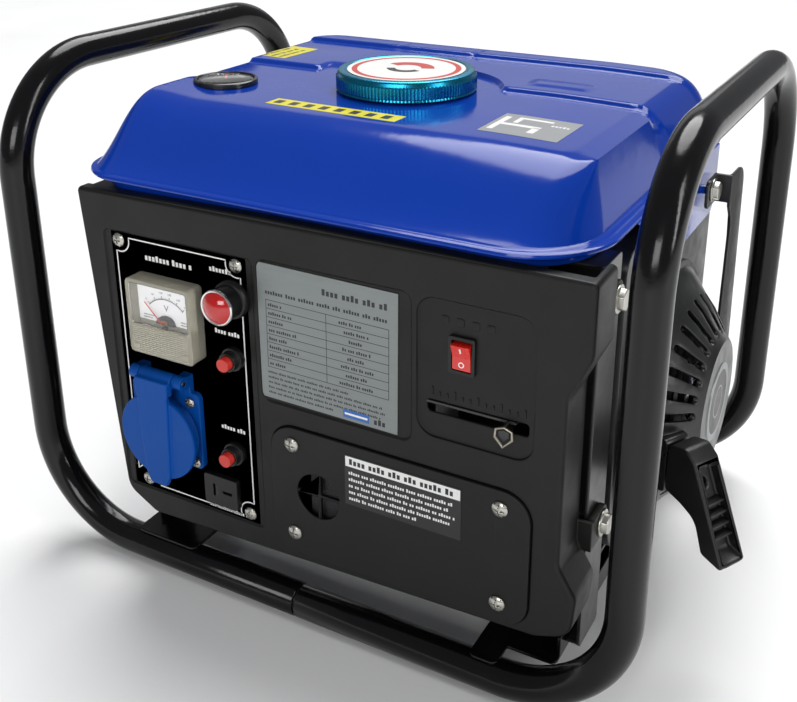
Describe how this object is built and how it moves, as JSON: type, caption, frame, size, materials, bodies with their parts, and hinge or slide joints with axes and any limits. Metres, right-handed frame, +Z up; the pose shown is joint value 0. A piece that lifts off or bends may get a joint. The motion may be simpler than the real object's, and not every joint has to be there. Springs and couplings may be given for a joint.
{
  "type": "portable petrol generator",
  "caption": "Portable petrol generator in a bent-tube frame with carrying handles, a front control panel, a top fuel tank and a recoil starter.",
  "frame": {"origin": "on the floor, under the centre of the tubular frame, at the mount named rest_plane", "axes": "+X towards the recoil starter, -Y out of the control panel, +Z up"},
  "size_m": [0.4413, 0.3138, 0.32],
  "materials": {
    "frame_black": "gloss black powder coat",
    "black_steel": "satin black paint",
    "zinc_steel": "bright zinc plate",
    "nickel_screw": "nickel plate",
    "black_plastic": "fine-textured black plastic",
    "panel_black": "satin black screen-printed panel",
    "meter_cream": "pale cream clear-tinted plastic",
    "clear_window": "clear window",
    "needle_red": "red",
    "lamp_red": "clear red lens in a chrome ring",
    "button_red": "red moulded button",
    "switch_black": "black moulded plastic",
    "socket_blue": "bright blue moulded plastic",
    "rocker_red": "red rocker",
    "lever_zinc": "yellow zinc plate",
    "foam": "open-cell foam",
    "cast_aluminium": "as cast",
    "machined_steel": "machined",
    "bearing_steel": "ground",
    "laminated_steel": "stacked laminations",
    "copper_winding": "varnished copper windings",
    "rubber_black": "moulded rubber",
    "handle_black": "moulded black plastic",
    "rope": "braided cord",
    "spring_steel": "blued spring steel",
    "exhaust_steel": "heat-proof black paint",
    "tank_blue": "gloss royal blue paint",
    "cap_teal": "teal anodised",
    "gauge_black": "dark lens in a chrome ring",
    "coil_black": "potted coil",
    "ceramic_black": "rubber plug cap"
  },
  "bodies": {
    "generator_body": {"ac_socket": "socket_blue", "alternator_end_cover": "black_plastic", "alternator_housing": "cast_aluminium", "alternator_stator": "laminated_steel", "capacitor": "coil_black", "carburettor": "cast_aluminium", "connecting_rod": "machined_steel", "control_panel": "panel_black", "cover_screws": "nickel_screw", "crankcase_halves": "cast_aluminium", "cross_plates": "frame_black", "cylinder": "cast_aluminium", "cylinder_head": "cast_aluminium", "dc_outlet": "switch_black", "engine_base": "black_steel", "engine_switch_bezel": "switch_black", "fan_shroud": "black_plastic", "filter_cover": "black_plastic", "filter_foam": "foam", "frame_joint_sleeves": "machined_steel", "frame_left_half": "frame_black", "frame_right_half": "frame_black", "front_cover": "black_plastic", "fuel_gauge": "gauge_black", "fuel_tank": "tank_blue", "fuel_tap": "lever_zinc", "hex_bolts": "zinc_steel", "ignition_coil": "coil_black", "indicator_lamp": "lamp_red", "lid_hinge_pin": "bearing_steel", "main_bearings": "bearing_steel", "muffler": "exhaust_steel", "muffler_guard": "exhaust_steel", "piston": "cast_aluminium", "recoil_housing": "black_plastic", "recoil_spring": "spring_steel", "reset_switch_bodies": "switch_black", "spark_plug": "ceramic_black", "stator_windings": "copper_winding", "tank_brackets": "black_steel", "vibration_mounts": "rubber_black", "voltmeter_case": "meter_cream", "voltmeter_lens": "clear_window"},
    "crank_assembly": {"crankshaft": "machined_steel", "big_end_bearing": "bearing_steel", "flywheel": "cast_aluminium", "alternator_rotor": "laminated_steel"},
    "recoil_reel": {"recoil_reel": "handle_black", "rope_winding": "rope"},
    "starter_handle": {"starter_handle": "handle_black", "starter_rope": "rope"},
    "cap_seal": {"cap_seal": "rubber_black"},
    "fuel_cap": {"fuel_cap": "cap_teal"},
    "ac_socket_lid": {"ac_socket_lid": "socket_blue"},
    "ac_reset_button": {"ac_reset_button": "button_red"},
    "dc_reset_button": {"dc_reset_button": "button_red"},
    "engine_switch_rocker": {"engine_switch_rocker": "rocker_red"},
    "choke_lever": {"choke_lever": "lever_zinc"},
    "fuel_tap_lever": {"fuel_tap_lever": "switch_black"},
    "voltmeter_needle": {"voltmeter_needle": "needle_red"}
  },
  "joints": [
    {"name": "crank_turn", "type": "hinge", "parent": "generator_body", "child": "crank_assembly", "pos_m": [0, 0.005, 0.126], "axis": [1, 0, 0], "continuous": true},
    {"name": "handle_pull", "type": "slide", "parent": "generator_body", "child": "starter_handle", "axis": [0.8829, -0.4695, 0], "range_m": [0, 0.6], "stiffness_N_per_m": 12, "springref_m": -0.5, "deforming": ["starter_rope"]},
    {"name": "reel_turn", "type": "hinge", "parent": "generator_body", "child": "recoil_reel", "pos_m": [0.178, 0.005, 0.126], "axis": [1, 0, 0], "range_deg": [0, 1140]},
    {"name": "cap_lift", "type": "slide", "parent": "generator_body", "child": "cap_seal", "axis": [0, 0, 1], "range_m": [0, 0.08]},
    {"name": "cap_turn", "type": "hinge", "parent": "cap_seal", "child": "fuel_cap", "pos_m": [-0.003, -0.003, 0.298], "axis": [0, 0, 1], "range_deg": [0, 90]},
    {"name": "socket_lid_open", "type": "hinge", "parent": "generator_body", "child": "ac_socket_lid", "pos_m": [-0.0845, -0.1533, 0.144], "axis": [-1, 0, 0], "range_deg": [0, 100], "stiffness_Nm_per_rad": 0.02, "springref_deg": -34.38},
    {"name": "ac_reset_press", "type": "slide", "parent": "generator_body", "child": "ac_reset_button", "axis": [0, 1, 0], "range_m": [0, 0.0025], "stiffness_N_per_m": 300, "springref_m": -0.002},
    {"name": "dc_reset_press", "type": "slide", "parent": "generator_body", "child": "dc_reset_button", "axis": [0, 1, 0], "range_m": [0, 0.0025], "stiffness_N_per_m": 300, "springref_m": -0.002},
    {"name": "engine_switch_rock", "type": "hinge", "parent": "generator_body", "child": "engine_switch_rocker", "pos_m": [0.106, -0.1429, 0.20025], "axis": [1, 0, 0], "range_deg": [-20, 0]},
    {"name": "choke_slide", "type": "slide", "parent": "generator_body", "child": "choke_lever", "axis": [1, 0, 0], "range_m": [-0.036, 0]},
    {"name": "fuel_tap_turn", "type": "hinge", "parent": "generator_body", "child": "fuel_tap_lever", "pos_m": [0.118, -0.1053, 0.224], "axis": [0, 1, 0], "range_deg": [0, 90]},
    {"name": "needle_swing", "type": "hinge", "parent": "generator_body", "child": "voltmeter_needle", "pos_m": [-0.07715, -0.1518, 0.176], "axis": [0, 1, 0], "range_deg": [0, 90], "stiffness_Nm_per_rad": 0.0001, "springref_deg": -17.19}
  ],
  "couplings": [
    {"joint": "reel_turn", "follows": "handle_pull", "rad_per_m": 32.9}
  ]
}
